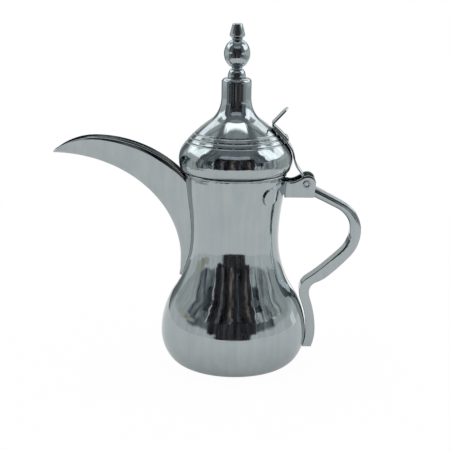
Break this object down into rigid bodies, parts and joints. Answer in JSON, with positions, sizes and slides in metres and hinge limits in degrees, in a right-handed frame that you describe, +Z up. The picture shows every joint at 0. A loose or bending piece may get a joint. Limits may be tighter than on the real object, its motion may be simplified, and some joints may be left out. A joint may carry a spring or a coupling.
{
  "type": "dallah coffee pot",
  "caption": "Polished steel coffee pot with a waisted pear-shaped body, an open beak spout, a bent hollow handle and a hinged domed lid with a spire and a thumb tab.",
  "frame": {"origin": "middle of the flat base, on the pot's axis", "axes": "+Z up along the pot's axis, -X towards the spout, +X towards the handle, hinge pin along Y"},
  "size_m": [0.266, 0.127, 0.3],
  "materials": {
    "polished_steel": "mirror polish",
    "rivet_steel": "satin",
    "plain_steel": "turned"
  },
  "bodies": {
    "pot": {"body_shell": "polished_steel", "neck_ring": "polished_steel", "spout_near_half": "polished_steel", "spout_far_half": "polished_steel", "bracket_near": "polished_steel", "bracket_far": "polished_steel", "handle": "polished_steel", "handle_end_cap": "polished_steel", "hinge_pin": "rivet_steel", "base_disc": "plain_steel", "handle_upper_plug": "plain_steel"},
    "lid": {"lid_shell": "polished_steel", "lid_strap": "polished_steel", "thumb_tab": "polished_steel", "strap_rivets": "rivet_steel", "finial_bell": "polished_steel", "finial_ball": "polished_steel", "finial_tip": "polished_steel", "finial_stud": "plain_steel", "finial_nut": "plain_steel", "finial_washer": "plain_steel"}
  },
  "joints": [
    {"name": "lid_hinge", "type": "hinge", "parent": "pot", "child": "lid", "pos_m": [0.0611, 0, 0.165], "axis": [0, 1, 0], "range_deg": [0, 110]}
  ]
}
